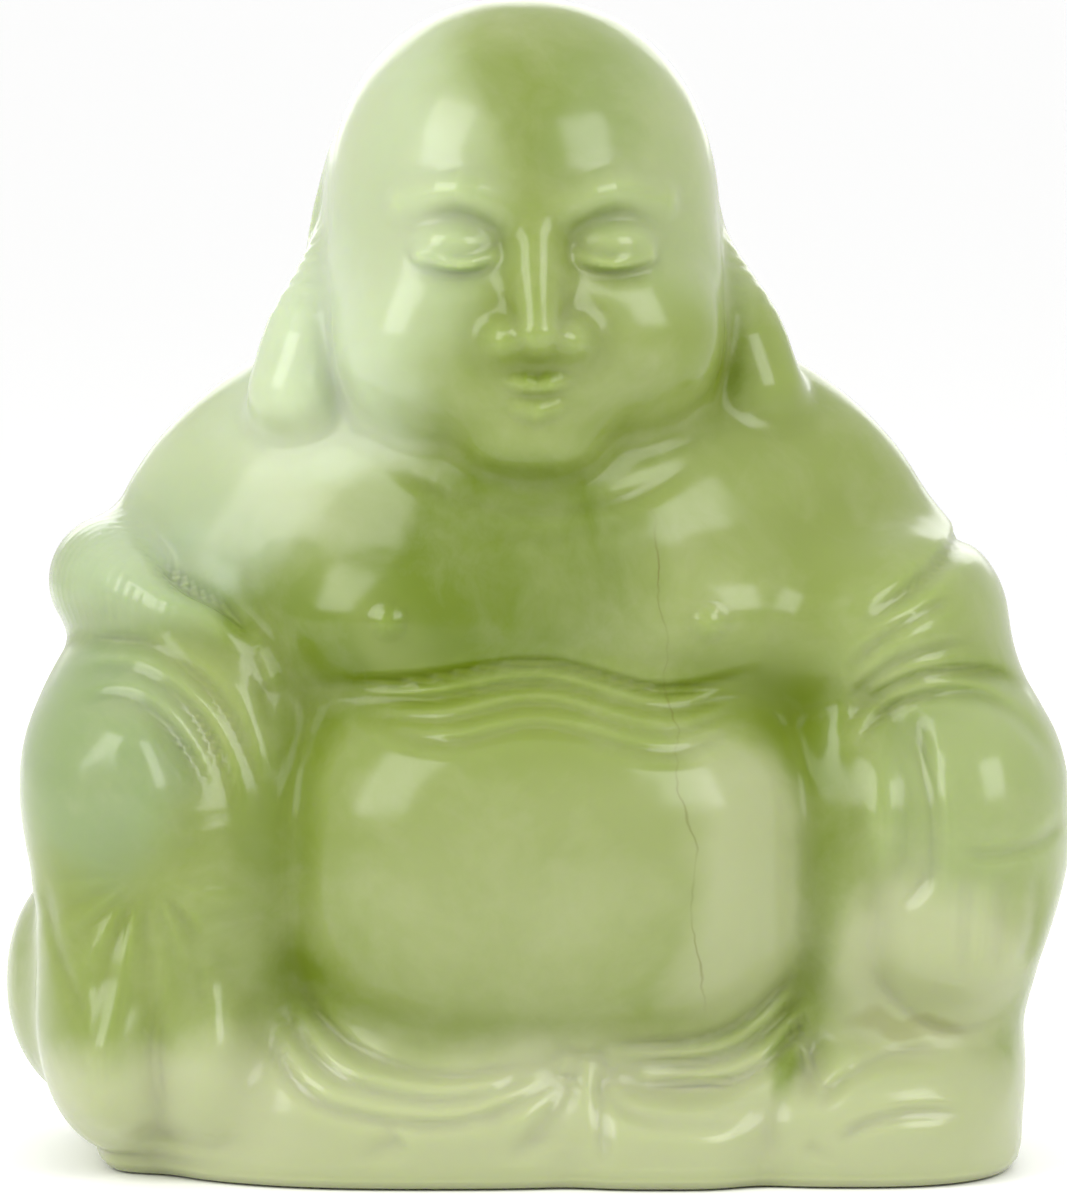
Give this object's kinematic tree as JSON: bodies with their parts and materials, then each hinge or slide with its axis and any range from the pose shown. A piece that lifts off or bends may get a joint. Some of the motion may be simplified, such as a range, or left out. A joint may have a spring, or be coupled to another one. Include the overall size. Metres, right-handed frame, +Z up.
{
  "type": "stone buddha carving",
  "caption": "Seated stout monk carved from one block of pale green stone, with long earlobes, a bare belly, draped robe and a cloth sack.",
  "frame": {"origin": "centre of the bounding box at the resting face", "axes": "+Z up through the crown of the head, -Y the way the face looks, +X the viewer's right"},
  "size_m": [0.0552, 0.032, 0.06],
  "materials": {
    "green_stone": "polished, translucent pale green with milky clouds"
  },
  "bodies": {
    "root": {"buddha_carving": "green_stone"}
  },
  "joints": []
}
